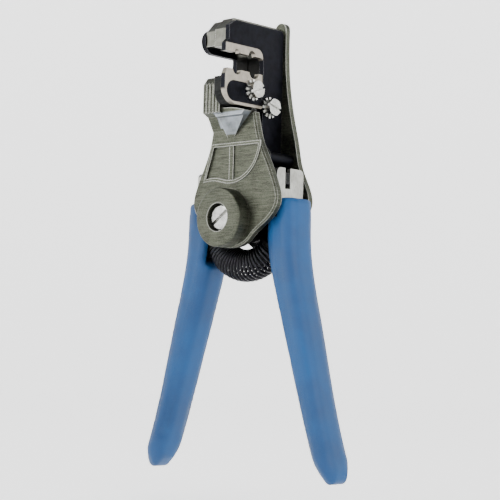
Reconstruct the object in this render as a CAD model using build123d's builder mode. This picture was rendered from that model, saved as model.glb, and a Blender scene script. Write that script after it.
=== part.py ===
from build123d import *
import os
from math import atan2, cos, degrees, radians, sin

# Parallel-jaw wire stripper, in millimetres.
# Origin: the main pivot's axis, half way between the two castings.
# +Z runs up to the jaws, -Y faces the open side of the jaws, and the wire lies along X.
# The left frame and gripping jaw are at -X, the right frame and cutting jaw at +X.

# ---- Body castings and the plates between them ------------------------------------------
right_half_width = 26.0     # front casting's widest point on the right, from the pivot's axis
left_half_width = 20.0      # and on the left
back_half_width = 23.8      # back casting's widest point, on both sides
body_depth = 24.0           # front casting's face to back casting's face
casting_wall = 3.0
plate_thickness = 2.6
plate_play = 0.2            # free play between plates that slide on each other
half_split = 0.3            # each half of the head stops this far from the middle plane
casting_top = 43.3          # radius of the front casting's top edge, about the pivot
column_top = 77.7           # height of the back casting's tall column
boss_radius = 11.7
front_boss_height = 6.0
back_boss_height = 4.0
recess_radius = 6.3
recess_floor = 2.5          # metal left under the recesses in the two bosses
right_spacer = (13.0, 24.0)
left_spacer = (-10.8, 25.8)
spacer_radius = 2.5

# ---- Main pivot -------------------------------------------------------------------------
pivot_radius = 4.0
pivot_head_radius = 5.2
pivot_head_height = 5.0
running_fit = 0.05          # radial clearance of parts that turn or slide on each other
sleeve_wall = 1.2

# ---- Jaws -------------------------------------------------------------------------------
jaw_depth = 24.3            # how far the blades reach in front of the pivot's axis
jaw_opening_bottom = 57.5
jaw_opening_top = 64.1
jaw_travel = 5.8
hook_width = 6.1
hook_top = 78.2
hook_lift = 2.4             # the hooks' undersides stay this far above the jaw plates' edges
gripper_lift = 1.2          # the gripping jaw stays this far above the cutting jaw
stem_front = -2.7
stem_bottom = 17.5
blade_thickness = 2.2
throat_rounding = 2.0
blade_stem_bottom = 25.5
blade_bottom = 43.8
blade_play = 0.5            # gap between the lower blade and the upper blade's stem
grip_block_width = 9.2
grip_block_top = 56.0
grip_block_bottom = 40.3
grip_block_front = 18.0

# ---- Screws, washers and pins -----------------------------------------------------------
screw_across_flats = 6.4
screw_head_height = 2.9
screw_shank_radius = 1.9
screw_shank_length = 5.5
washer_thickness = 0.8
washer_tooth_radius = 4.2
lower_screw_y = -8.9
lower_screw_z = 50.6
upper_screw_y = 0.8
upper_screw_z = 44.8
guide_pin_radius = 1.25
guide_pin_grip = 3.2        # how deep a guide pin reaches into its slot
guide_pin_low = 30.0
guide_pin_high = 46.0
pull_pin_radius = 1.5
pull_pin_x = 17.5
pull_pin_z = 14.0
pull_plate_thickness = 2.0
pull_plate_y = 1.5          # each pull plate's middle, in front on the right, behind on the left

# ---- Handles ----------------------------------------------------------------------------
sheet = 1.6                 # the pressed levers' metal
handle_angle = 16.0         # how far each handle turns when it is squeezed, in degrees
ear_radius = 8.5
ear_play = 0.2
fork_face = 22.0            # outer face of the lever's web at the fork
fork_top = 19.5
fork_half_width = 7.6
fork_slot_bottom = 11.4
lever_end = -88.0
grip_top = 7.5
grip_wall = 1.4             # the vinyl's thickness on the channel's cheeks
grip_clearance = 0.1
grip_end = -100.9

# ---- Return spring ----------------------------------------------------------------------
spring_radius = 18.1        # coil's centre line, about the pivot
coil_radius = 6.0
coil_bore = 4.6
spring_start = 38.0         # degrees below the horizontal, at each end
spring_gap = 0.4
seat_thickness = 1.4
pocket_side = 20.4          # the pocket stops this far from the middle
pocket_play = 1.1           # room round the spring inside the grips

# ---- Sizes that follow ------------------------------------------------------------------
front_face = body_depth / 2
inner_face = front_face - casting_wall
plate_outer = inner_face - plate_play
plate_inner = plate_outer - plate_thickness
sleeve_radius = pivot_radius + running_fit + sleeve_wall
bush_hole = sleeve_radius + running_fit
channel_half_width = plate_inner - plate_play
grip_half_depth = channel_half_width + grip_wall
pocket_radius = spring_radius + coil_radius + pocket_play
ear_outer = channel_half_width
ear_inner = ear_outer - sheet - ear_play
grip_block_back = upper_screw_y - washer_tooth_radius - 0.6
gripping_edge = jaw_opening_top + gripper_lift
blade_face = half_split + hook_width + blade_thickness
blade_seat = half_split + hook_width
cutter_back = inner_face - 0.4
gripper_back = plate_inner - 0.2


def flank(half_width, side):
    """One side of a casting's outline, from its waist down to the bottom of the boss."""
    return [
        (side * (half_width - 10.0), 30.0),
        (side * (half_width - 5.7), 21.7),
        (side * (half_width - 1.6), 13.0),
        (side * half_width, 6.5),
        (side * (half_width - 3.7), 0.0),
        (side * (half_width - 12.0), -5.9),
        (0.0, -boss_radius),
    ]


parts = {}


def finish(builder, name):
    """Label a finished piece and write it to its own file."""
    builder.part.label = name
    parts[name] = builder.part
    export_step(builder.part, "parts/" + name + ".step")


def front_plane(distance):
    """Plane facing the open side of the jaws, this far in front of the middle plane."""
    return Plane.XZ.offset(distance)


def turn_half(builder):
    """The same piece for the other side: turned by half a turn about the upright axis."""
    return builder.part.rotate(Axis.Z, 180)


os.makedirs("parts", exist_ok=True)

# ---- Front casting, with the lower gripping block and the chin under the lower blade ----


def on_top_edge(x):
    """Point of the front casting's arched top edge at this distance from the middle."""
    return (x, (casting_top**2 - x**2) ** 0.5)


right_corner = on_top_edge(12.9)
left_corner = on_top_edge(-8.8)
chin_right = 12.0
chin_left = -4.4
chin_apex = 31.0
chin_front = front_face + 4.6
chin_lip = 1.8

with BuildPart() as chin:
    with BuildSketch(Plane.YZ.offset(-grip_block_width - half_split)):
        with BuildLine():
            Polyline(
                (-front_face + 1.0, chin_apex - 1.5),
                (-front_face + 1.0, casting_top),
                (-chin_front, casting_top),
                (-chin_front, casting_top - chin_lip - 1.4),
                (-chin_front + 1.4, casting_top - chin_lip - 1.9),
                close=True,
            )
        make_face()
    extrude(amount=grip_block_width + half_split + chin_right)
    with BuildSketch(front_plane(front_face - 1.0)):
        with BuildLine():
            ThreePointArc(on_top_edge(chin_left), (0.0, casting_top), on_top_edge(chin_right))
            Line(on_top_edge(chin_right), (1.6, chin_apex))
            Line((1.6, chin_apex), (-0.8, chin_apex))
            Line((-0.8, chin_apex), on_top_edge(chin_left))
        make_face()
    extrude(amount=chin_front, mode=Mode.INTERSECT)

panel_middle = 1.2
panel_top = 29.8
panel_radius = 16.0
panel_depth = 0.5
bead_width = 1.2
bead_height = 0.4
panel_rib = 2.4


def panel_outline(inset):
    """The panel above the boss: straight on top, round on the right, cut by the left flank."""
    right = panel_middle + panel_radius - inset
    top = panel_top - inset
    bottom = panel_top - panel_radius + inset
    slant = (panel_radius - inset) * 0.7071
    with BuildSketch() as outline:
        with BuildLine():
            Line((-9.6 + inset, top), (right, top))
            ThreePointArc(
                (right, top),
                (panel_middle + slant, panel_top - slant),
                (panel_middle, bottom),
            )
            Spline(
                (panel_middle, bottom),
                (-6.0, bottom + 1.2),
                (-13.8 + inset, bottom + 1.0),
                tangents=[(-1.0, 0.0), (-1.0, -0.2)],
            )
            Spline(
                (-13.8 + inset, bottom + 1.0),
                (-11.8 + inset, 21.7),
                (-9.6 + inset, top),
            )
        make_face()
    return outline.sketch


with BuildPart() as front_casting:
    with BuildSketch(front_plane(inner_face)):
        with BuildLine():
            Spline(right_corner, *flank(right_half_width, 1), tangents=[(0.25, -1.0), (-1.0, 0.0)])
            left_edge = [left_corner, (-11.4, 28.5)] + flank(left_half_width, -1)[2:]
            Spline(*left_edge, tangents=[(-0.2, -1.0), (1.0, 0.0)])
            ThreePointArc(left_corner, (0.0, casting_top), right_corner)
        make_face()
    extrude(amount=casting_wall)
    rim = front_casting.faces().sort_by(Axis.Y)[0].edges()
    chamfer(rim, length=0.7)
    # The panel is sunk a little; a raised bead goes round it and an upright rib divides it.
    with BuildSketch(front_plane(front_face)):
        add(panel_outline(bead_width))
        with Locations((panel_middle, panel_top)):
            Rectangle(panel_rib, 3 * panel_radius, mode=Mode.SUBTRACT)
    extrude(amount=-panel_depth, mode=Mode.SUBTRACT)
    with BuildSketch(front_plane(front_face)):
        add(panel_outline(0.0))
        add(panel_outline(bead_width), mode=Mode.SUBTRACT)
    extrude(amount=bead_height)
    with BuildSketch(front_plane(front_face)):
        Circle(boss_radius)
    extrude(amount=front_boss_height)
    boss_rim = front_casting.faces().sort_by(Axis.Y)[0].edges()
    fillet(boss_rim, radius=0.8)
    add(chin.part)
    # The gripping block stands above the casting's left half, with grooves across its face.
    with BuildSketch(Plane.YZ.offset(-half_split - grip_block_width)):
        with BuildLine():
            Polyline(
                (-grip_block_front, grip_block_bottom + 1.5),
                (-grip_block_front, grip_block_top - 3.0),
                (-grip_block_front + 2.2, grip_block_top),
                (grip_block_back, grip_block_top),
                (grip_block_back, casting_top - 8.0),
                (-inner_face - 1.0, casting_top - 12.0),
                (-grip_block_front + 3.0, grip_block_bottom),
                close=True,
            )
        make_face()
    extrude(amount=grip_block_width)
    groove_count = 5
    groove_pitch = grip_block_width / groove_count
    with BuildSketch(Plane.XY.offset(grip_block_bottom - 1.0)):
        with Locations((-half_split - grip_block_width / 2, -grip_block_front)):
            with GridLocations(groove_pitch, 1, groove_count, 1):
                Circle(groove_pitch * 0.3)
    extrude(amount=grip_block_top + 2.0 - grip_block_bottom, mode=Mode.SUBTRACT)
    # Bore for the pivot bolt, the recess for its head and the blind hole for the spacer.
    with BuildSketch(front_plane(front_face - casting_wall)):
        Circle(pivot_radius + running_fit)
    extrude(amount=casting_wall + front_boss_height, mode=Mode.SUBTRACT)
    with BuildSketch(front_plane(inner_face + recess_floor)):
        Circle(pivot_head_radius + 0.4)
    extrude(amount=casting_wall + front_boss_height, mode=Mode.SUBTRACT)
    with BuildSketch(front_plane(inner_face)):
        with Locations(left_spacer):
            Circle(spacer_radius - 1.0)
    extrude(amount=casting_wall - 1.0, mode=Mode.SUBTRACT)
finish(front_casting, "front_casting")

# ---- Back casting, with the tall column behind the cutting jaw ---------------------------
column_edge = 9.6
bump_radius = 3.0

with BuildPart() as back_casting:
    with BuildSketch(front_plane(-front_face)):
        with BuildLine():
            bump_start = (column_edge - 2 * bump_radius, column_top)
            bump_end = (column_edge, column_top)
            Spline(
                bump_end,
                (column_edge + 0.2, 64.0),
                (column_edge + 2.0, 49.0),
                (column_edge + 4.4, 38.5),
                (back_half_width - 7.6, 30.0),
                *flank(back_half_width, 1)[1:],
                tangents=[(0.0, -1.0), (-1.0, 0.0)],
            )
            Line((0.0, -boss_radius), (0.0, 36.0))
            Line((0.0, 36.0), (half_split, 40.0))
            Line((half_split, 40.0), (half_split, column_top - 1.4))
            Line((half_split, column_top - 1.4), bump_start)
            ThreePointArc(bump_start, (column_edge - bump_radius, column_top + bump_radius), bump_end)
        make_face()
        with BuildLine():
            left_side = flank(back_half_width, -1)
            Spline(*left_side, tangents=[(-0.3, -1.0), (1.0, 0.0)])
            Line((0.0, -boss_radius), (0.0, 36.0))
            Line((0.0, 36.0), left_side[0])
        make_face()
    extrude(amount=casting_wall)
    rim = back_casting.faces().sort_by(Axis.Y)[-1].edges()
    chamfer(rim.sort_by(SortBy.LENGTH)[-1], length=0.6)
    with BuildSketch(front_plane(-front_face)):
        Circle(boss_radius)
    extrude(amount=-back_boss_height)
    boss_rim = back_casting.faces().sort_by(Axis.Y)[-1].edges()
    fillet(boss_rim, radius=0.8)
    with BuildSketch(front_plane(-inner_face)):
        Circle(pivot_radius + running_fit)
    extrude(amount=-casting_wall - back_boss_height, mode=Mode.SUBTRACT)
    with BuildSketch(front_plane(-inner_face - recess_floor)):
        Circle(recess_radius)
    extrude(amount=-casting_wall - back_boss_height, mode=Mode.SUBTRACT)
    with BuildSketch(front_plane(-inner_face)):
        with Locations(right_spacer):
            Circle(spacer_radius - 1.0)
    extrude(amount=-casting_wall + 1.0, mode=Mode.SUBTRACT)
    with BuildSketch(front_plane(-inner_face)):
        for guide_z in (guide_pin_low, guide_pin_high):
            with Locations((half_split + hook_width / 2, guide_z)):
                Circle(guide_pin_radius)
    extrude(amount=-casting_wall, mode=Mode.SUBTRACT)
finish(back_casting, "back_casting")


def plate_outline(side, top, spacer_place):
    """Inner plate: a disc round the pivot, an arm to the spacer and a strip up to the jaw."""
    spacer_x, spacer_z = spacer_place
    with BuildSketch() as outline:
        Circle(ear_radius + 2.0)
        with Locations(spacer_place):
            Circle(spacer_radius + 1.6)
        with BuildLine():
            Polyline(
                (side * half_split, 0.0),
                (side * half_split, top),
                (side * (half_split + 8.2), top),
                (side * (half_split + 8.6), 36.0),
                (spacer_x + side * 3.9, spacer_z + 1.2),
                (side * 10.4, 1.5),
                close=True,
            )
        make_face()
        Circle(bush_hole, mode=Mode.SUBTRACT)
        with Locations(spacer_place):
            Circle(spacer_radius - 1.0, mode=Mode.SUBTRACT)
    return outline.sketch


# ---- Left back plate: guides the gripping jaw -------------------------------------------
with BuildPart() as left_back_plate:
    with BuildSketch(front_plane(-plate_outer)):
        add(plate_outline(-1, 60.0, left_spacer))
        for guide_z in (guide_pin_low, guide_pin_high):
            with Locations((-half_split - hook_width / 2, guide_z)):
                Circle(guide_pin_radius, mode=Mode.SUBTRACT)
    extrude(amount=plate_thickness)
finish(left_back_plate, "left_back_plate")

# ---- Right front plate, with the block that carries the lower blade ---------------------
block_front = jaw_depth - 2.6
block_top = jaw_opening_bottom - 2.4

with BuildPart() as right_front_plate:
    with BuildSketch(front_plane(plate_inner)):
        add(plate_outline(1, blade_bottom + 2.0, right_spacer))
        with Locations((blade_seat + blade_thickness, blade_bottom + 2.0)):
            Rectangle(2 * blade_thickness, 4.6, mode=Mode.SUBTRACT)
    extrude(amount=plate_thickness)
    with BuildSketch(Plane.YZ.offset(half_split)):
        with BuildLine():
            block_back = stem_front - 0.4
            Line((-block_front, blade_bottom + 6.0), (-block_front, block_top))
            Line((-block_front, block_top), (block_back, block_top))
            Line((block_back, block_top), (block_back, blade_bottom))
            Line((block_back, blade_bottom), (-block_front + 6.0, blade_bottom))
            RadiusArc(
                (-block_front + 6.0, blade_bottom), (-block_front, blade_bottom + 6.0), 6.0
            )
        make_face()
    extrude(amount=hook_width)
    with BuildSketch(Plane.YZ.offset(blade_seat)):
        with Locations((lower_screw_y, lower_screw_z)):
            Circle(screw_shank_radius)
    extrude(amount=-screw_shank_length, mode=Mode.SUBTRACT)
finish(right_front_plate, "right_front_plate")


def spacer(start, end, tail_start, tail_end):
    """Stepped spacer pin along Y: a thick middle with thinner tails riveted into the plates."""
    with BuildPart() as pin:
        with BuildSketch(front_plane(-start)):
            Circle(spacer_radius)
        extrude(amount=start - end)
        with BuildSketch(front_plane(-tail_start)):
            Circle(spacer_radius - 1.0)
        extrude(amount=tail_start - tail_end)
    return pin


with BuildPart() as left_spacer_pin:
    pin = spacer(-inner_face, plate_inner, -front_face + 1.0, plate_outer)
    add(pin.part.moved(Location((left_spacer[0], 0, left_spacer[1]))))
finish(left_spacer_pin, "left_spacer_pin")

with BuildPart() as right_spacer_pin:
    pin = spacer(-plate_inner, inner_face, -plate_outer, front_face - 1.0)
    add(pin.part.moved(Location((right_spacer[0], 0, right_spacer[1]))))
finish(right_spacer_pin, "right_spacer_pin")

# ---- Main pivot: bolt, sleeve, washers and nut ------------------------------------------
head_seat = inner_face + recess_floor
bolt_end = front_face + back_boss_height - 0.4

with BuildPart() as pivot_bolt:
    with BuildSketch(front_plane(head_seat)):
        Circle(pivot_head_radius)
    extrude(amount=pivot_head_height)
    head_rim = pivot_bolt.faces().sort_by(Axis.Y)[0].edges()
    fillet(head_rim, radius=0.9)
    with BuildSketch(front_plane(head_seat)):
        Circle(pivot_radius)
    extrude(amount=-head_seat - bolt_end)
    with BuildSketch(front_plane(head_seat + pivot_head_height)):
        Rectangle(2 * pivot_head_radius + 1.0, 1.4, rotation=35.0)
    extrude(amount=-1.3, mode=Mode.SUBTRACT)
finish(pivot_bolt, "pivot_bolt")

with BuildPart() as pivot_sleeve:
    with BuildSketch(front_plane(inner_face - 0.05)):
        Circle(sleeve_radius)
        Circle(pivot_radius + running_fit, mode=Mode.SUBTRACT)
    extrude(amount=-2 * inner_face + 0.1)
finish(pivot_sleeve, "pivot_sleeve")

with BuildPart() as pivot_washer:
    with BuildSketch(front_plane(-head_seat - 0.05)):
        Circle(recess_radius - 0.4)
        Circle(pivot_radius + running_fit, mode=Mode.SUBTRACT)
    extrude(amount=-0.8)
finish(pivot_washer, "pivot_washer")

with BuildPart() as pivot_nut:
    with BuildSketch(front_plane(-head_seat - 0.9)):
        RegularPolygon(recess_radius - 0.5, 6)
        Circle(pivot_radius, mode=Mode.SUBTRACT)
    extrude(amount=-2.9)
finish(pivot_nut, "pivot_nut")


# ---- Upper jaws: two hooks that slide down inside the frames ----------------------------
def hook(front, back, underside, side):
    """Jaw hook: an arm that reaches forward and a stem that slides in its frame."""
    start = side * half_split
    with BuildPart() as body:
        with BuildSketch(Plane.YZ.offset(start)):
            with BuildLine():
                Polyline(
                    (stem_front, stem_bottom),
                    (stem_front, underside),
                    (-front, underside),
                    (-front, hook_top - 4.6),
                    (-front + 4.2, hook_top),
                    (back, hook_top),
                    (back, stem_bottom),
                    close=True,
                )
            make_face()
        extrude(amount=side * hook_width)
        level = (underside - 0.1, underside + 0.1)
        throat = body.edges().filter_by(Axis.X).filter_by_position(Axis.Z, *level)
        fillet(throat.sort_by(Axis.Y)[-1], radius=throat_rounding)
        # Blind slots in the stem's back, for the guide pins.
        with BuildSketch(front_plane(-back)):
            for guide_z in (guide_pin_low, guide_pin_high):
                with Locations((side * (half_split + hook_width / 2), guide_z + jaw_travel / 2)):
                    SlotCenterToCenter(jaw_travel, 2 * guide_pin_radius + 0.3, rotation=90.0)
        extrude(amount=guide_pin_grip + 0.4, mode=Mode.SUBTRACT)
        # Threaded hole for the screw that holds the blade or the jaw plate.
        with BuildSketch(Plane.YZ.offset(side * blade_seat)):
            with Locations((upper_screw_y, upper_screw_z)):
                Circle(screw_shank_radius)
        extrude(amount=-side * screw_shank_length, mode=Mode.SUBTRACT)
        # Slot across the stem's foot that the pull plate is pressed into.
        with BuildSketch(front_plane(side * pull_plate_y)):
            with Locations((side * (half_split + hook_width / 2), stem_bottom + 2.0)):
                Rectangle(hook_width + 1.0, 8.0)
        extrude(amount=pull_plate_thickness / 2, both=True, mode=Mode.SUBTRACT)
    return body


def pull_plate(side):
    """Flat link that joins a stem's foot to the pull pin, through the fork in the lever."""
    with BuildPart() as link:
        with BuildSketch(front_plane(side * pull_plate_y)):
            with BuildLine():
                Polyline(
                    (side * half_split, stem_bottom),
                    (side * half_split, stem_bottom + 6.0),
                    (side * (half_split + hook_width), stem_bottom + 6.0),
                    (side * (pull_pin_x + 4.5), pull_pin_z + 3.6),
                    (side * (pull_pin_x + 4.5), pull_pin_z - 0.6),
                    (side * (pull_pin_x + 2.0), pull_pin_z - 2.8),
                    (side * (half_split + hook_width + 2.0), pull_pin_z),
                    close=True,
                )
            make_face()
            with Locations((side * pull_pin_x, pull_pin_z)):
                Circle(pull_pin_radius, mode=Mode.SUBTRACT)
        extrude(amount=pull_plate_thickness / 2, both=True)
    return link


def side_plane(side, distance):
    """Plane across X at this distance from the middle, on the left or the right half."""
    return Plane.YZ.offset(side * distance)


gripper_hook = hook(20.0, gripper_back, gripping_edge + hook_lift, -1)
finish(gripper_hook, "gripper_hook")
cutter_hook = hook(22.0, cutter_back, jaw_opening_top + hook_lift, 1)
finish(cutter_hook, "cutter_hook")
gripper_pull_plate = pull_plate(-1)
finish(gripper_pull_plate, "gripper_pull_plate")
cutter_pull_plate = pull_plate(1)
finish(cutter_pull_plate, "cutter_pull_plate")

for name, side, casting_face in (
    ("gripper_guide_pins", -1, plate_outer),
    ("cutter_guide_pins", 1, front_face - 0.1),
):
    slot_mouth = gripper_back if side < 0 else cutter_back
    with BuildPart() as guide_pins:
        with BuildSketch(front_plane(-casting_face)):
            for guide_z in (guide_pin_low, guide_pin_high):
                with Locations((side * (half_split + hook_width / 2), guide_z)):
                    Circle(guide_pin_radius)
        extrude(amount=casting_face - slot_mouth + guide_pin_grip)
    finish(guide_pins, name)

# ---- Pull pins: pressed into the pull plates, and free to run in the levers' slots --------
for name, side in (("gripper_pull_pin", -1), ("cutter_pull_pin", 1)):
    with BuildPart() as pull_pin:
        with BuildSketch(front_plane(side * (ear_outer + 0.05))):
            with Locations((side * pull_pin_x, pull_pin_z)):
                Circle(pull_pin_radius)
        extrude(amount=-side * (ear_outer + ear_inner + 0.1))
    finish(pull_pin, name)

# ---- Black jaw plate on the gripper and the notched upper blade --------------------------
with BuildPart() as gripper_plate:
    with BuildSketch(side_plane(-1, blade_seat)):
        with BuildLine():
            nose_radius = 4.9
            nose_z = gripping_edge + nose_radius
            nose_y = -15.8
            ThreePointArc(
                (nose_y, gripping_edge),
                (nose_y - nose_radius, nose_z),
                (nose_y, nose_z + nose_radius),
            )
            Line((nose_y, nose_z + nose_radius), (gripper_back, nose_z + nose_radius))
            Line((gripper_back, nose_z + nose_radius), (gripper_back, 38.0))
            Line((gripper_back, 38.0), (stem_front, 38.0))
            Line((stem_front, 38.0), (stem_front, gripping_edge))
            Line((stem_front, gripping_edge), (nose_y, gripping_edge))
        make_face()
        with Locations((upper_screw_y, upper_screw_z)):
            Circle(screw_shank_radius + 0.1, mode=Mode.SUBTRACT)
    extrude(amount=-blade_thickness)
finish(gripper_plate, "gripper_plate")

upper_notches = [(-17.9, 1.4), (-9.3, 2.0)]
lower_notches = [(-17.7, 2.3), (-8.0, 2.7)]

with BuildPart() as upper_blade:
    with BuildSketch(side_plane(1, blade_seat)):
        with BuildLine():
            Polyline(
                (-jaw_depth, jaw_opening_top),
                (-jaw_depth, jaw_opening_top + 3.2),
                (-jaw_depth + 1.9, jaw_opening_top + 5.0),
                (-jaw_depth + 1.9, hook_top - 3.6),
                (-jaw_depth + 5.6, hook_top - 1.3),
                (cutter_back - 1.0, hook_top - 1.3),
                (cutter_back, hook_top - 2.6),
                (cutter_back, blade_stem_bottom),
                (stem_front, blade_stem_bottom),
                (stem_front, jaw_opening_top),
                close=True,
            )
        make_face()
        for notch_y, notch_radius in upper_notches:
            with Locations((notch_y, jaw_opening_top)):
                Circle(notch_radius, mode=Mode.SUBTRACT)
        with Locations((upper_screw_y, upper_screw_z)):
            Circle(screw_shank_radius + 0.1, mode=Mode.SUBTRACT)
    extrude(amount=blade_thickness)
    level = (jaw_opening_top - 0.1, jaw_opening_top + 0.1)
    throat = upper_blade.edges().filter_by(Axis.X).filter_by_position(Axis.Z, *level)
    fillet(throat.sort_by(Axis.Y)[-1], radius=throat_rounding)
finish(upper_blade, "upper_blade")

with BuildPart() as lower_blade:
    with BuildSketch(side_plane(1, blade_seat)):
        with BuildLine():
            back_y = stem_front - blade_play
            Line((-jaw_depth + 1.2, jaw_opening_bottom), (back_y, jaw_opening_bottom))
            Line((back_y, jaw_opening_bottom), (back_y, blade_bottom))
            Line((back_y, blade_bottom), (-jaw_depth + 7.0, blade_bottom))
            RadiusArc(
                (-jaw_depth + 7.0, blade_bottom), (-jaw_depth, blade_bottom + 7.0), 7.0
            )
            Line((-jaw_depth, blade_bottom + 7.0), (-jaw_depth, jaw_opening_bottom - 2.6))
            Line((-jaw_depth, jaw_opening_bottom - 2.6), (-jaw_depth + 1.2, jaw_opening_bottom))
        make_face()
        for notch_y, notch_radius in lower_notches:
            with Locations((notch_y, jaw_opening_bottom + 0.3)):
                Circle(notch_radius, mode=Mode.SUBTRACT)
        with Locations((lower_screw_y, lower_screw_z)):
            Circle(screw_shank_radius + 0.1, mode=Mode.SUBTRACT)
    extrude(amount=blade_thickness)
finish(lower_blade, "lower_blade")


# ---- Slotted hex screws with toothed lock washers ----------------------------------------
def hex_screw(side, y, z, slot_angle):
    """Slotted hexagon-head screw along X, with its head on the outer side."""
    head_start = blade_face + washer_thickness
    with BuildPart() as screw:
        with BuildSketch(side_plane(side, head_start)):
            with Locations((y, z)):
                RegularPolygon(screw_across_flats / 2, 6, major_radius=False, rotation=slot_angle)
        extrude(amount=side * screw_head_height)
        with BuildSketch(side_plane(side, head_start)):
            with Locations((y, z)):
                Circle(screw_across_flats / 2 + 0.15)
        extrude(amount=side * screw_head_height, mode=Mode.INTERSECT)
        with BuildSketch(side_plane(side, head_start + screw_head_height)):
            with Locations((y, z)):
                Rectangle(screw_across_flats + 2.0, 1.0, rotation=slot_angle)
        extrude(amount=-side * 1.0, mode=Mode.SUBTRACT)
        with BuildSketch(side_plane(side, head_start)):
            with Locations((y, z)):
                Circle(screw_shank_radius - 0.02)
        extrude(amount=-side * (screw_shank_length - 0.3 + washer_thickness + blade_thickness))
    return screw


def toothed_washer(side, y, z):
    """External-tooth lock washer under a screw head."""
    tooth_count = 12
    ring_radius = washer_tooth_radius - 1.2
    with BuildPart() as washer:
        with BuildSketch(side_plane(side, blade_face)):
            with Locations((y, z)):
                Circle(ring_radius)
                with PolarLocations(ring_radius + 0.4, tooth_count):
                    Rectangle(1.6, 1.0)
                Circle(screw_shank_radius + 0.1, mode=Mode.SUBTRACT)
        extrude(amount=side * washer_thickness)
    return washer


for name, side, y, z, slot_angle in (
    ("lower_blade", 1, lower_screw_y, lower_screw_z, 20.0),
    ("upper_blade", 1, upper_screw_y, upper_screw_z, -15.0),
    ("gripper_plate", -1, upper_screw_y, upper_screw_z, 40.0),
):
    finish(hex_screw(side, y, z, slot_angle), name + "_screw")
    finish(toothed_washer(side, y, z), name + "_washer")

# ---- Handles: pressed levers, each with a soft grip --------------------------------------
web_line = [
    (fork_face, 2.0),
    (23.4, -12.0),
    (28.9, -34.0),
    (35.0, -53.0),
    (40.6, -72.0),
    (46.0, lever_end),
]
flange_line = [
    (fork_face - 4.6, 2.0),
    (19.9, -12.0),
    (24.4, -34.0),
    (30.2, -53.0),
    (35.6, -72.0),
    (41.0, lever_end),
]
grip_stations = [        # height, middle, half width
    (grip_top, 22.1, 6.4),
    (0.0, 22.2, 6.9),
    (-8.5, 22.3, 7.0),
    (-22.5, 24.7, 6.6),
    (-41.0, 29.9, 6.1),
    (-59.0, 35.0, 5.4),
    (-77.0, 40.3, 4.9),
    (-91.0, 45.1, 4.7),
]
grip_tip = [(51.2, -96.5), (50.4, -99.8), (47.9, grip_end), (44.6, -98.6)]
grip_rounding = 4.2
grip_top_rounding = 1.6


def channel_outline(shift, growth=0.0):
    """Side view of the lever's channel, moved towards the middle and grown on both sides."""
    web = [(x - shift + growth, z - growth) for x, z in web_line]
    flange = [(x - shift - growth, z - growth) for x, z in flange_line]
    with BuildSketch() as outline:
        with BuildLine():
            Spline(*web)
            Line(web[-1], flange[-1])
            Spline(*flange)
            Line(flange[0], web[0])
        make_face()
    return outline.sketch


# The pull pin comes straight down while the lever turns, so its hole is a slot.
turned = radians(handle_angle)
slot_start = Vector(pull_pin_x, pull_pin_z)
slot_end = Vector(
    pull_pin_x * cos(turned) - (pull_pin_z - jaw_travel) * sin(turned),
    pull_pin_x * sin(turned) + (pull_pin_z - jaw_travel) * cos(turned),
)


def ear_outline():
    """Ear from the pivot to the web, with the pivot's hole and the pull pin's slot."""
    with BuildSketch() as outline:
        Circle(ear_radius)
        with BuildLine():
            Polyline(
                (0.0, ear_radius),
                (fork_face - sheet, fork_top - 2.5),
                (fork_face - sheet, 2.0),
                (fork_face - sheet - 3.0, -3.0),
                (0.0, -ear_radius),
                close=True,
            )
        make_face()
        Circle(bush_hole, mode=Mode.SUBTRACT)
        slot_run = slot_start - slot_end
        with Locations((slot_start + slot_end) * 0.5):
            SlotCenterToCenter(
                slot_run.length,
                2 * pull_pin_radius + 0.7,
                rotation=degrees(atan2(slot_run.Y, slot_run.X)),
                mode=Mode.SUBTRACT,
            )
    return outline.sketch


with BuildPart() as right_lever:
    with BuildSketch(front_plane(0.0)):
        add(channel_outline(0.0))
    extrude(amount=channel_half_width, both=True)
    with BuildSketch(front_plane(0.0)):
        add(channel_outline(sheet))
    extrude(amount=channel_half_width - sheet, both=True, mode=Mode.SUBTRACT)
    # Front ear runs on from the front flange; the back ear stands inside the other lever's.
    with BuildSketch(front_plane(ear_outer)):
        add(ear_outline())
    extrude(amount=-sheet)
    with BuildSketch(front_plane(-ear_inner)):
        add(ear_outline())
    extrude(amount=sheet)
    # Fork: the web widens above the grip and is slotted for the pull plate.
    with BuildSketch(Plane.YZ.offset(fork_face - sheet)):
        with Locations((0.0, fork_top / 2)):
            RectangleRounded(2 * fork_half_width, fork_top, 2.2)
        with Locations((-pull_plate_y, fork_top)):
            slot_depth = fork_top - fork_slot_bottom
            Rectangle(pull_plate_thickness + 0.9, 2 * slot_depth, mode=Mode.SUBTRACT)
    extrude(amount=sheet)
    # Seat for the end of the return spring.
    seat_plane = Plane(
        origin=(0, 0, 0),
        x_dir=(cos(radians(spring_start - 1.8)), 0, -sin(radians(spring_start - 1.8))),
        z_dir=(sin(radians(spring_start - 1.8)), 0, cos(radians(spring_start - 1.8))),
    )
    with BuildSketch(seat_plane):
        with Locations((spring_radius, 0.0)):
            Rectangle(2 * coil_radius + 3.0, 2 * channel_half_width - 1.0)
    extrude(amount=seat_thickness)
finish(right_lever, "right_lever")

with BuildPart() as left_lever:
    add(turn_half(right_lever))
finish(left_lever, "left_lever")

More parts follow.
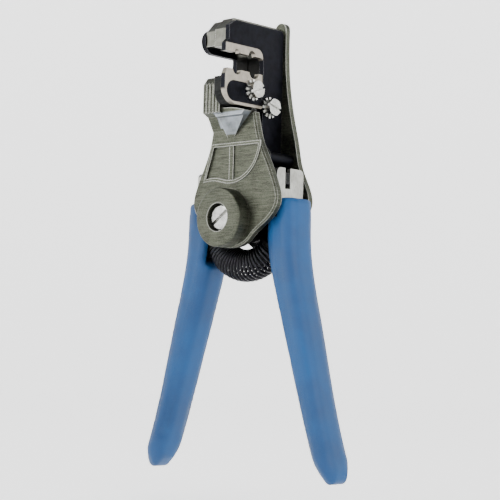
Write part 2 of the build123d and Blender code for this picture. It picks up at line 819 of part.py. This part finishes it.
with BuildPart() as right_grip:
    outer_side = [(middle + half_width, height) for height, middle, half_width in grip_stations]
    inner_side = [(middle - half_width, height) for height, middle, half_width in grip_stations]
    with BuildSketch(front_plane(0.0)):
        with BuildLine():
            Spline(*outer_side)
            Spline(outer_side[-1], *grip_tip, inner_side[-1], tangents=[(0.35, -1.0), (-0.35, 1.0)])
            Spline(*inner_side)
            Line(inner_side[0], outer_side[0])
        make_face()
    extrude(amount=grip_half_depth, both=True)
    cheeks = right_grip.faces().filter_by(Axis.Y)
    fillet(cheeks.edges().filter_by(Axis.X, reverse=True), radius=grip_rounding)
    upper_edges = right_grip.faces().sort_by(Axis.Z)[-1].edges()
    fillet(upper_edges, radius=grip_top_rounding)
    with BuildSketch(front_plane(0.0)):
        add(channel_outline(0.0, grip_clearance))
        with Locations((fork_face - sheet / 2, fork_top / 2)):
            Rectangle(sheet + 2 * grip_clearance, fork_top)
    extrude(amount=channel_half_width + grip_clearance, both=True, mode=Mode.SUBTRACT)
    # The fork is wider than the channel, so its foot has a slot of its own.
    with BuildSketch(Plane.YZ.offset(fork_face - sheet - grip_clearance)):
        with Locations((0.0, fork_top / 2)):
            Rectangle(2 * (fork_half_width + grip_clearance), fork_top + 2 * grip_clearance)
    extrude(amount=sheet + 2 * grip_clearance, mode=Mode.SUBTRACT)
    # Room for the ears, the spring's end and its seat, open towards the pivot.
    with BuildSketch(front_plane(0.0)):
        Circle(pocket_radius)
        Circle(spring_radius - coil_radius - 1.5, mode=Mode.SUBTRACT)
        with Locations((pocket_side - pocket_radius, 0.0)):
            Rectangle(2 * pocket_radius, 4 * pocket_radius, mode=Mode.INTERSECT)
    extrude(amount=channel_half_width + grip_clearance, both=True, mode=Mode.SUBTRACT)
finish(right_grip, "right_grip")

with BuildPart() as left_grip:
    add(turn_half(right_grip))
finish(left_grip, "left_grip")

# ---- Return spring: a coil bent round the pivot, between the two levers -----------------
start = radians(spring_start + spring_gap)
with BuildPart() as return_spring:
    spring_plane = Plane(
        origin=(0, 0, 0), x_dir=(cos(start), 0, -sin(start)), z_dir=(sin(start), 0, cos(start))
    )
    with BuildSketch(spring_plane):
        with Locations((spring_radius, 0.0)):
            Circle(coil_radius)
            Circle(coil_bore, mode=Mode.SUBTRACT)
    revolve(axis=Axis.Y, revolution_arc=180.0 - 2 * (spring_start + spring_gap))
finish(return_spring, "return_spring")

for name, solid in parts.items():
    print(name, round(solid.volume, 1), "mm3")
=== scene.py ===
# %% [markdown]
# # Wire stripper: a lesson in cells
#
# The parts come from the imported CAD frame. This lesson gives each of them its surface,
# winds a real return spring, lights the tool softly on a pale ground and sets the camera.
# Lengths are metres. The origin is the main pivot, +X right, +Y back, +Z up.

import math

import bmesh
import bpy
from mathutils import Matrix, Vector


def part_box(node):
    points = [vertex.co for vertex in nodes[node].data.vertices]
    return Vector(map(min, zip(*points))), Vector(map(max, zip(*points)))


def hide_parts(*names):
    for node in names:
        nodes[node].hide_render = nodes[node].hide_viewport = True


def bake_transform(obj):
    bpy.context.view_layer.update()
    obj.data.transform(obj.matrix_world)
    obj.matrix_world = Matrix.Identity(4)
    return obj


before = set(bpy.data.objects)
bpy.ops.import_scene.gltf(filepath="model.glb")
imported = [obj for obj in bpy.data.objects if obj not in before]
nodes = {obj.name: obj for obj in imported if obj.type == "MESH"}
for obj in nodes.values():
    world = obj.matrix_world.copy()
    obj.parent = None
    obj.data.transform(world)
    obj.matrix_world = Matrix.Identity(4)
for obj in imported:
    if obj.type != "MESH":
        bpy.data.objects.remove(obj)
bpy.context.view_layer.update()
MM = 0.001

# %% [markdown]
# ## Arithmetic with sockets
#
# A material is a sum of masks, noises and colours. Wrapping a socket in a small class
# lets the formulas below be written as ordinary expressions such as `1 - mask`.


# %% The socket class
class Socket:
    """One output of a node, combined by Python's operators into Math nodes."""

    def __init__(self, tree, output):
        self.tree = tree
        self.output = output

    def plug(self, value, target):
        """Connects a socket to an input, or sets the input to a plain value."""
        if isinstance(value, Socket):
            self.tree.links.new(value.output, target)
        else:
            target.default_value = value

    def node(self, kind, inputs, output=0, **settings):
        """Adds any other node: its settings first, then its inputs by name or number."""
        made = self.tree.nodes.new(kind)
        for name, value in settings.items():
            setattr(made, name, value)
        for name, value in inputs.items():
            self.plug(value, made.inputs[name])
        return Socket(self.tree, made.outputs[output])

    def maths(self, operation, *values):
        return self.node("ShaderNodeMath", dict(enumerate(values)), operation=operation)

    def __add__(self, other):
        return self.maths("ADD", self, other)

    def __sub__(self, other):
        return self.maths("SUBTRACT", self, other)

    def __rsub__(self, other):
        return self.maths("SUBTRACT", other, self)

    def __mul__(self, other):
        return self.maths("MULTIPLY", self, other)

    __radd__ = __add__
    __rmul__ = __mul__

    def at_least(self, floor):
        return self.maths("MAXIMUM", self, floor)

    def root(self):
        return self.maths("SQRT", self)

    def between(self, low, high):
        """Smooth step from 0 at `low` to 1 at `high`."""
        inputs = {0: self, 1: low, 2: high}
        return self.node("ShaderNodeMapRange", inputs, interpolation_type="SMOOTHSTEP")

    def stretched(self, x, y, z):
        """A vector multiplied axis by axis."""
        return self.node("ShaderNodeVectorMath", {0: self, 1: (x, y, z)}, operation="MULTIPLY")

    def noise(self, scale, detail=3.0, roughness=0.55):
        inputs = {"Vector": self, "Scale": scale, "Detail": detail, "Roughness": roughness}
        return self.node("ShaderNodeTexNoise", inputs)

    def axis(self, number):
        return self.node("ShaderNodeSeparateXYZ", {0: self}, output=number)

    def colours(self, low, high):
        """Blends two colours, this socket being the factor."""
        inputs = {0: self, 6: low, 7: high}
        return self.node("ShaderNodeMix", inputs, output=2, data_type="RGBA")


def colour(red, green, blue):
    """A screen colour, 0 to 255, as the linear values that a shader takes."""
    return tuple(((c / 255 + 0.055) / 1.055) ** 2.4 for c in (red, green, blue)) + (1.0,)


print("socket class ready; mid grey is", round(colour(128, 128, 128)[0], 3))

# %% [markdown]
# ## A material to start from
#
# Every surface starts from its position on the object in millimetres. The metals add an
# edge mask, which compares the real normal with a rounded one, so that it is 0 on a
# face and rises along its edges, where handling rubs a finish away. Inner corners are
# kept out of it by their occlusion, since nothing rubs there.


# %% Position, edges and the common finish
def new_material(name):
    material = bpy.data.materials.new(name)
    material.use_nodes = True
    coordinates = material.node_tree.nodes.new("ShaderNodeTexCoord")
    place = Socket(material.node_tree, coordinates.outputs["Object"])
    return material, place.stretched(1000, 1000, 1000)


def edge_mask(place, radius):
    """1 along the edges within `radius` millimetres, 0 on the open faces."""
    rounded = place.node("ShaderNodeBevel", {"Radius": radius * MM}, samples=6)
    real = place.node("ShaderNodeNewGeometry", {}, output="Normal")
    inputs = {0: rounded, 1: real}
    agreement = place.node("ShaderNodeVectorMath", inputs, output="Value", operation="DOT_PRODUCT")
    hollow = place.node("ShaderNodeAmbientOcclusion", {"Distance": radius * MM}, "AO", samples=4)
    return (1 - agreement).between(0.01, 0.18) * hollow.between(0.6, 0.95)


def surface(material, place, base, roughness, bump, depth, metallic=1.0, soften=0.0):
    """Connects the masks to the shader. `depth` is the bump and `soften` rounds edges, in mm."""
    shader = material.node_tree.nodes["Principled BSDF"]
    place.plug(base, shader.inputs["Base Color"])
    place.plug(roughness, shader.inputs["Roughness"])
    inputs = {"Height": bump, "Distance": depth * MM, "Strength": 1.0}
    if soften:
        inputs["Normal"] = place.node("ShaderNodeBevel", {"Radius": soften * MM}, samples=8)
    place.plug(place.node("ShaderNodeBump", inputs), shader.inputs["Normal"])
    shader.inputs["Metallic"].default_value = metallic
    return material


# %% [markdown]
# ## Die-cast frames and plates
#
# The castings are satin olive grey. Broad clouds and a fine grain break up the colour
# and the polish, shallow scratches mark the colour and the relief, and the edges are
# worn brighter.
# The chin under the lower blade stands proud of the front; its polished facet gets a bluish painted
# highlight, a painted reflection of the light.


# %% Castings
# The chin's sides in millimetres; its painted highlight fades between the two values of each.
CHIN_BOTTOM = (30.8, 31.4)
CHIN_TOP = (41.2, 41.8)
CHIN_FACE = (-12.7, -12.4)
CHIN_LEFT = (-4.7, -4.3)
CHIN_PAINTED_HIGHLIGHT = colour(172, 180, 192)


def cast_metal(name, dark, light, worn):
    material, place = new_material(name)
    clouds = place.noise(0.16, 4.0).between(0.3, 0.7)
    grain = place.noise(2.6, 3.0)
    scratches = place.stretched(0.16, 0.16, 2.4).noise(1.3, 3.0)
    edges = edge_mask(place, 0.7) * (0.35 + 0.9 * grain)
    mottle = 0.08 * clouds + 0.46 * grain + 0.46 * scratches
    base = mottle.between(0.3, 0.68).colours(dark, light)
    base = edges.colours(base, worn)
    height = place.axis(2)
    chin = height.between(*CHIN_BOTTOM) * (1 - height.between(*CHIN_TOP))
    chin = chin * (1 - place.axis(1).between(*CHIN_FACE)) * place.axis(0).between(*CHIN_LEFT)
    # Painted highlight: the chin is lightened towards a bluish white, standing in for the light it
    # reflects.
    base = (0.36 * chin * (0.5 + clouds)).colours(base, CHIN_PAINTED_HIGHLIGHT)
    roughness = 0.34 + 0.16 * clouds + 0.10 * grain - 0.10 * edges
    return surface(material, place, base, roughness, grain + 0.4 * scratches, 0.035)


looks = {}
looks["die_cast"] = cast_metal(
    "die_cast", colour(38, 40, 33), colour(88, 90, 79), colour(180, 181, 174)
)
looks["plate_steel"] = cast_metal(
    "plate_steel", colour(16, 17, 17), colour(38, 39, 38), colour(96, 97, 95)
)
print("castings:", [look.name for look in looks.values()])

# %% [markdown]
# ## Brushed steel
#
# The sliding hooks, the levers and the screws are bright. Noise changes both the shade
# and the polish: drawn out along the way a hook or a lever was brushed, even on a screw.
# The hooks and the levers are painted black below a given height, as painted shade.


# %% Hooks, levers and screws
def brushed(name, dark, light, stretch, polish, depth=0.006, shade_below=None):
    """Steel with brushed noise; below an optional height, in mm, it is painted black as shade."""
    material, place = new_material(name)
    lines = place.stretched(*stretch).noise(1.0, 4.0)
    clouds = place.noise(0.3, 3.0).between(0.3, 0.7)
    edges = edge_mask(place, 0.3)
    base = (0.7 * lines + 0.3 * clouds).colours(dark, light)
    base = (0.7 * edges).colours(base, colour(214, 215, 212))
    if shade_below is not None:
        # Painted shade: below that height the steel is turned near black.
        base = place.axis(2).between(shade_below - 3.0, shade_below).colours(colour(16, 16, 15), base)
    roughness = polish + 0.16 * lines + 0.10 * clouds
    return surface(material, place, base, roughness, lines, depth)


# The hooks are painted black as shade below 67.5 mm, in the throat between the jaws, and the levers
# below 5 mm, at the foot of the pivot boss.
looks["jaw_steel"] = brushed(
    "jaw_steel", colour(48, 48, 42), colour(128, 128, 119), (5.0, 5.0, 0.22), 0.22, shade_below=67.5
)
looks["lever_steel"] = brushed(
    "lever_steel", colour(112, 112, 106), colour(186, 186, 180), (2.0, 2.0, 0.5), 0.24, shade_below=5.0
)
looks["bright_screw"] = brushed(
    "bright_screw", colour(120, 120, 115), colour(214, 214, 210), (1.5, 1.5, 1.5), 0.14
)
print("bright steels:", "jaw_steel lever_steel bright_screw")

# %% [markdown]
# ## Black oxide and ground edges
#
# The jaw plates are blackened, then ground along their working edges. A mask made from
# the position decides where the bright ground metal begins; fine grinding lines cross
# it. Each plate has its own mask, so each gets its own copy of the material.


# %% Blades
def oxide(name, ground_area):
    """Blue-black steel; `ground_area(y, z)` is the mask of its ground bright bands."""
    material, place = new_material(name)
    y = place.axis(1)
    z = place.axis(2)
    clouds = place.noise(0.35, 4.0).between(0.3, 0.7)
    grain = place.noise(3.5, 3.0)
    lines = place.stretched(0.5, 6.0, 0.5).noise(1.0, 3.0)
    edges = edge_mask(place, 0.22) * (0.3 + grain)
    black = (0.6 * clouds + 0.4 * grain).colours(colour(9, 9, 12), colour(24, 25, 31))
    bright = (0.7 * lines + 0.3 * clouds).colours(colour(112, 106, 96), colour(168, 162, 151))
    ground = ground_area(y, z)
    base = ground.colours((0.6 * edges).colours(black, colour(140, 141, 142)), bright)
    roughness = 0.36 + 0.12 * clouds - 0.10 * ground + 0.10 * lines
    return surface(material, place, base, roughness, grain * (1 - ground) + lines * ground, 0.008)


def upper_blade_ground(y, z):
    """A band that follows the throat, above the cutting edge and down the stem, but not in front."""
    inward = (y + 6.5).at_least(0.0)
    upward = (z - 64.1).at_least(0.0)
    band = 1 - (inward * inward + upward * upward).root().between(3.2, 3.5)
    return band * y.between(-24.25, -24.0)


def lower_blade_ground(y, z):
    """Everything outside a long hollow with a round end, except the front edge."""
    along = (-19.0 - y).at_least(0.0)
    across = z - 49.0
    return (along * along + across * across).root().between(3.95, 4.25) * y.between(-24.25, -24.0)


def no_ground(y, z):
    return 0.0 * z


looks["black_steel"] = oxide("black_steel", no_ground)
looks["blade_steel"] = oxide("blade_steel", no_ground)
blade_looks = {
    "upper_blade": oxide("upper_blade_steel", upper_blade_ground),
    "lower_blade": oxide("lower_blade_steel", lower_blade_ground),
}
print("blades:", sorted(blade_looks))

# %% [markdown]
# ## Vinyl grips and spring wire
#
# Dipped vinyl is smooth and slightly uneven, with soft blue clouds and a faint fine
# texture. The spring is black wire with a bright, oily polish.


# %% Grips and spring
def vinyl(name):
    material, place = new_material(name)
    clouds = place.noise(0.06, 3.0).between(0.3, 0.7)
    grain = place.noise(1.4, 3.0)
    dust = place.noise(7.0, 2.0).between(0.62, 0.75)
    base = (0.6 * clouds + 0.4 * grain).colours(colour(0, 48, 90), colour(0, 66, 116))
    base = (0.10 * dust).colours(base, colour(110, 150, 190))
    roughness = 0.36 + 0.12 * clouds + 0.10 * grain
    shader = material.node_tree.nodes["Principled BSDF"]
    shader.inputs["Specular IOR Level"].default_value = 0.3
    return surface(material, place, base, roughness, grain, 0.02, metallic=0.0, soften=4.5)


looks["grip_vinyl"] = vinyl("grip_vinyl")
looks["spring_steel"] = brushed(
    "spring_steel", colour(12, 12, 13), colour(46, 46, 50), (2.0, 2.0, 2.0), 0.22
)
print("looks:", sorted(looks))

# %% [markdown]
# ## Dress the CAD parts
#
# The frame's parts keep their shapes. Each material slot is handed the look with its
# name, and the two cutting plates get their own.

# %% Assign the looks
for name, part in nodes.items():
    for material_slot in part.material_slots:
        look = looks[material_slot.material.name.split(".")[0]]
        material_slot.material = blade_looks.get(name, look)
print("dressed", len(nodes), "parts")

# %% [markdown]
# ## The return spring
#
# In the CAD model the spring is a bent tube. Here it is wound: a coil whose axis is an
# arc round the main pivot. The wire follows one helix, drawn in three stretches as curves
# with a round bevel and turned into meshes. Each spans one joint, and its share of
# the arc is in proportion to that joint's travel. The coil is a little wider half way along,
# as a bent coil is. On its inner side the turns already meet at rest.

# %% Wind the coils
spring_low, spring_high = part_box("return_spring")
COIL_RADIUS = (spring_high.y - spring_low.y) / 2
ARC_RADIUS = -spring_low.z - COIL_RADIUS
WIRE_RADIUS = 0.62 * MM
START = math.radians(-38.5)
END = math.radians(-141.5)
TURNS = 20
POINTS_A_TURN = 20
BULGE = 0.6 * MM


def on_spring(angle):
    """Point of the helix at this angle of the arc; it makes all its turns from START to END."""
    turn = TURNS * math.tau * (angle - START) / (END - START)
    bulge = BULGE * math.sin(math.pi * (angle - START) / (END - START))
    radius = COIL_RADIUS - WIRE_RADIUS + bulge
    outward = ARC_RADIUS + radius * math.cos(turn)
    return Vector((outward * math.cos(angle), radius * math.sin(turn), outward * math.sin(angle)))


def wire_piece(name, first, last):
    """The helix between two angles, as a closed mesh of round wire."""
    count = round(TURNS * POINTS_A_TURN * (last - first) / (END - START))
    curve = bpy.data.curves.new(name, "CURVE")
    curve.dimensions = "3D"
    curve.bevel_depth = WIRE_RADIUS
    curve.bevel_resolution = 2
    curve.use_fill_caps = True
    line = curve.splines.new("POLY")
    line.points.add(count)
    for number, point in enumerate(line.points):
        point.co = (*on_spring(first + (last - first) * number / count), 1.0)
    drawn = bpy.data.objects.new(name + "_curve", curve)
    bpy.context.scene.collection.objects.link(drawn)
    bpy.context.view_layer.update()
    mesh = bpy.data.meshes.new_from_object(drawn)
    bpy.data.objects.remove(drawn)
    mesh.name = name
    mesh.materials.clear()
    mesh.materials.append(looks["spring_steel"])
    mesh.shade_smooth()
    piece = bpy.data.objects.new(name, mesh)
    bpy.context.scene.collection.objects.link(piece)
    return piece


RIGHT_CUT = math.radians(-75.5)
LEFT_CUT = math.radians(-104.5)
cuts = [START, RIGHT_CUT, LEFT_CUT, END]
bodies = ["right_handle", "right_frame", "left_frame", "left_handle"]
for side, first, last, a, b in zip(
    ("right", "middle", "left"), cuts[:-1], cuts[1:], bodies[:-1], bodies[1:]
):
    piece = wire_piece("spring_" + side, first, last)
    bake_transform(piece)
    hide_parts("return_spring")
    print(piece.name, len(piece.data.polygons), "faces")

# %% [markdown]
# ## Floor and backdrop
#
# One pale bowl serves as the floor and as the backdrop on every side. Its profile is
# spun round the vertical, so floor and wall meet in a wide curve without a seam. The
# floor lies just below the lowest point that a grip reaches as its handle is squeezed.

# %% Bowl
FLOOR_RADIUS = 1.4
CURVE_RADIUS = 0.8
CURVE_STEPS = 12
WALL_TOP = 1.6
grip_reach = max(math.hypot(v.co.x, v.co.z) for v in nodes["right_grip"].data.vertices)
floor_z = -grip_reach - 0.5 * MM
bowl_mesh = bpy.data.meshes.new("bowl")
build = bmesh.new()
places = [(0.0, 0.0), (FLOOR_RADIUS, 0.0)]
for step in range(1, CURVE_STEPS + 1):
    lean = math.radians(90 * step / CURVE_STEPS)
    outward = FLOOR_RADIUS + CURVE_RADIUS * math.sin(lean)
    places.append((outward, CURVE_RADIUS * (1 - math.cos(lean))))
places.append((FLOOR_RADIUS + CURVE_RADIUS, WALL_TOP))
profile = [build.verts.new((x, 0.0, floor_z + rise)) for x, rise in places]
ribs = [build.edges.new(pair) for pair in zip(profile, profile[1:])]
bmesh.ops.spin(
    build,
    geom=profile + ribs,
    cent=(0.0, 0.0, 0.0),
    axis=(0.0, 0.0, 1.0),
    angle=math.tau,
    steps=64,
    use_merge=True,
)
bmesh.ops.remove_doubles(build, verts=build.verts, dist=1e-5)
bmesh.ops.recalc_face_normals(build, faces=build.faces)
build.to_mesh(bowl_mesh)
build.free()
bowl_mesh.shade_smooth()
bowl = bpy.data.objects.new("bowl", bowl_mesh)
bpy.context.scene.collection.objects.link(bowl)

paper, place = new_material("paper")
fibres = place.noise(0.05, 3.0)
surface(
    paper,
    place,
    fibres.colours(colour(246, 246, 246), colour(251, 251, 251)),
    0.8 + 0.1 * fibres,
    fibres,
    0.02,
    metallic=0.0,
)
glow = paper.node_tree.nodes["Principled BSDF"]
glow.inputs["Emission Color"].default_value = colour(255, 255, 255)
glow.inputs["Emission Strength"].default_value = 1.0
bowl_mesh.materials.append(paper)
print("bowl faces:", len(bowl_mesh.polygons), "floor at", round(floor_z, 4))

# %% [markdown]
# ## Light
#
# The sky is pale and even. A wide soft lamp stands in front, a second fills the right
# side, and a third hangs overhead to lift the tops of the jaws.


# %% Lamps
def soft_lamp(name, place, aim, size, power):
    lamp = bpy.data.lights.new(name, "AREA")
    lamp.shape = "SQUARE"
    lamp.size = size
    lamp.energy = power
    stand = bpy.data.objects.new(name, lamp)
    stand.location = place
    stand.rotation_euler = (Vector(aim) - Vector(place)).to_track_quat("-Z", "Y").to_euler()
    bpy.context.scene.collection.objects.link(stand)


soft_lamp("key", (-0.6, -1.3, 0.6), (0.0, 0.0, 0.0), 0.8, 11.0)
soft_lamp("fill", (1.3, -0.1, 0.4), (0.0, 0.0, 0.0), 0.7, 7.0)
soft_lamp("overhead", (0.0, 0.1, 1.3), (0.0, 0.0, 0.0), 0.9, 6.0)

sky = bpy.data.worlds.new("sky")
sky.use_nodes = True
sky.node_tree.nodes["Background"].inputs["Color"].default_value = colour(250, 251, 253)
sky.node_tree.nodes["Background"].inputs["Strength"].default_value = 0.35
bpy.context.scene.world = sky

# %% [markdown]
# ## Camera
#
# A long lens, a little below the pivot, in front of the tool and round to its right.

# %% Place the camera
lens = bpy.data.cameras.new("camera")
lens.sensor_width = 36.0
lens.lens = 106.1
lens.clip_start = 0.01
camera = bpy.data.objects.new("camera", lens)
right = Vector((0.7233, 0.6900, 0.0258)).normalized()
back = Vector((0.690, -0.721, -0.066)).normalized()
up = back.cross(right)
camera.matrix_world = Matrix.Translation((0.407, -0.424, -0.0506)) @ Matrix(
    (right, up, back)
).transposed().to_4x4()
bpy.context.scene.collection.objects.link(camera)
bpy.context.scene.camera = camera
print("camera at", tuple(round(c, 3) for c in camera.location))
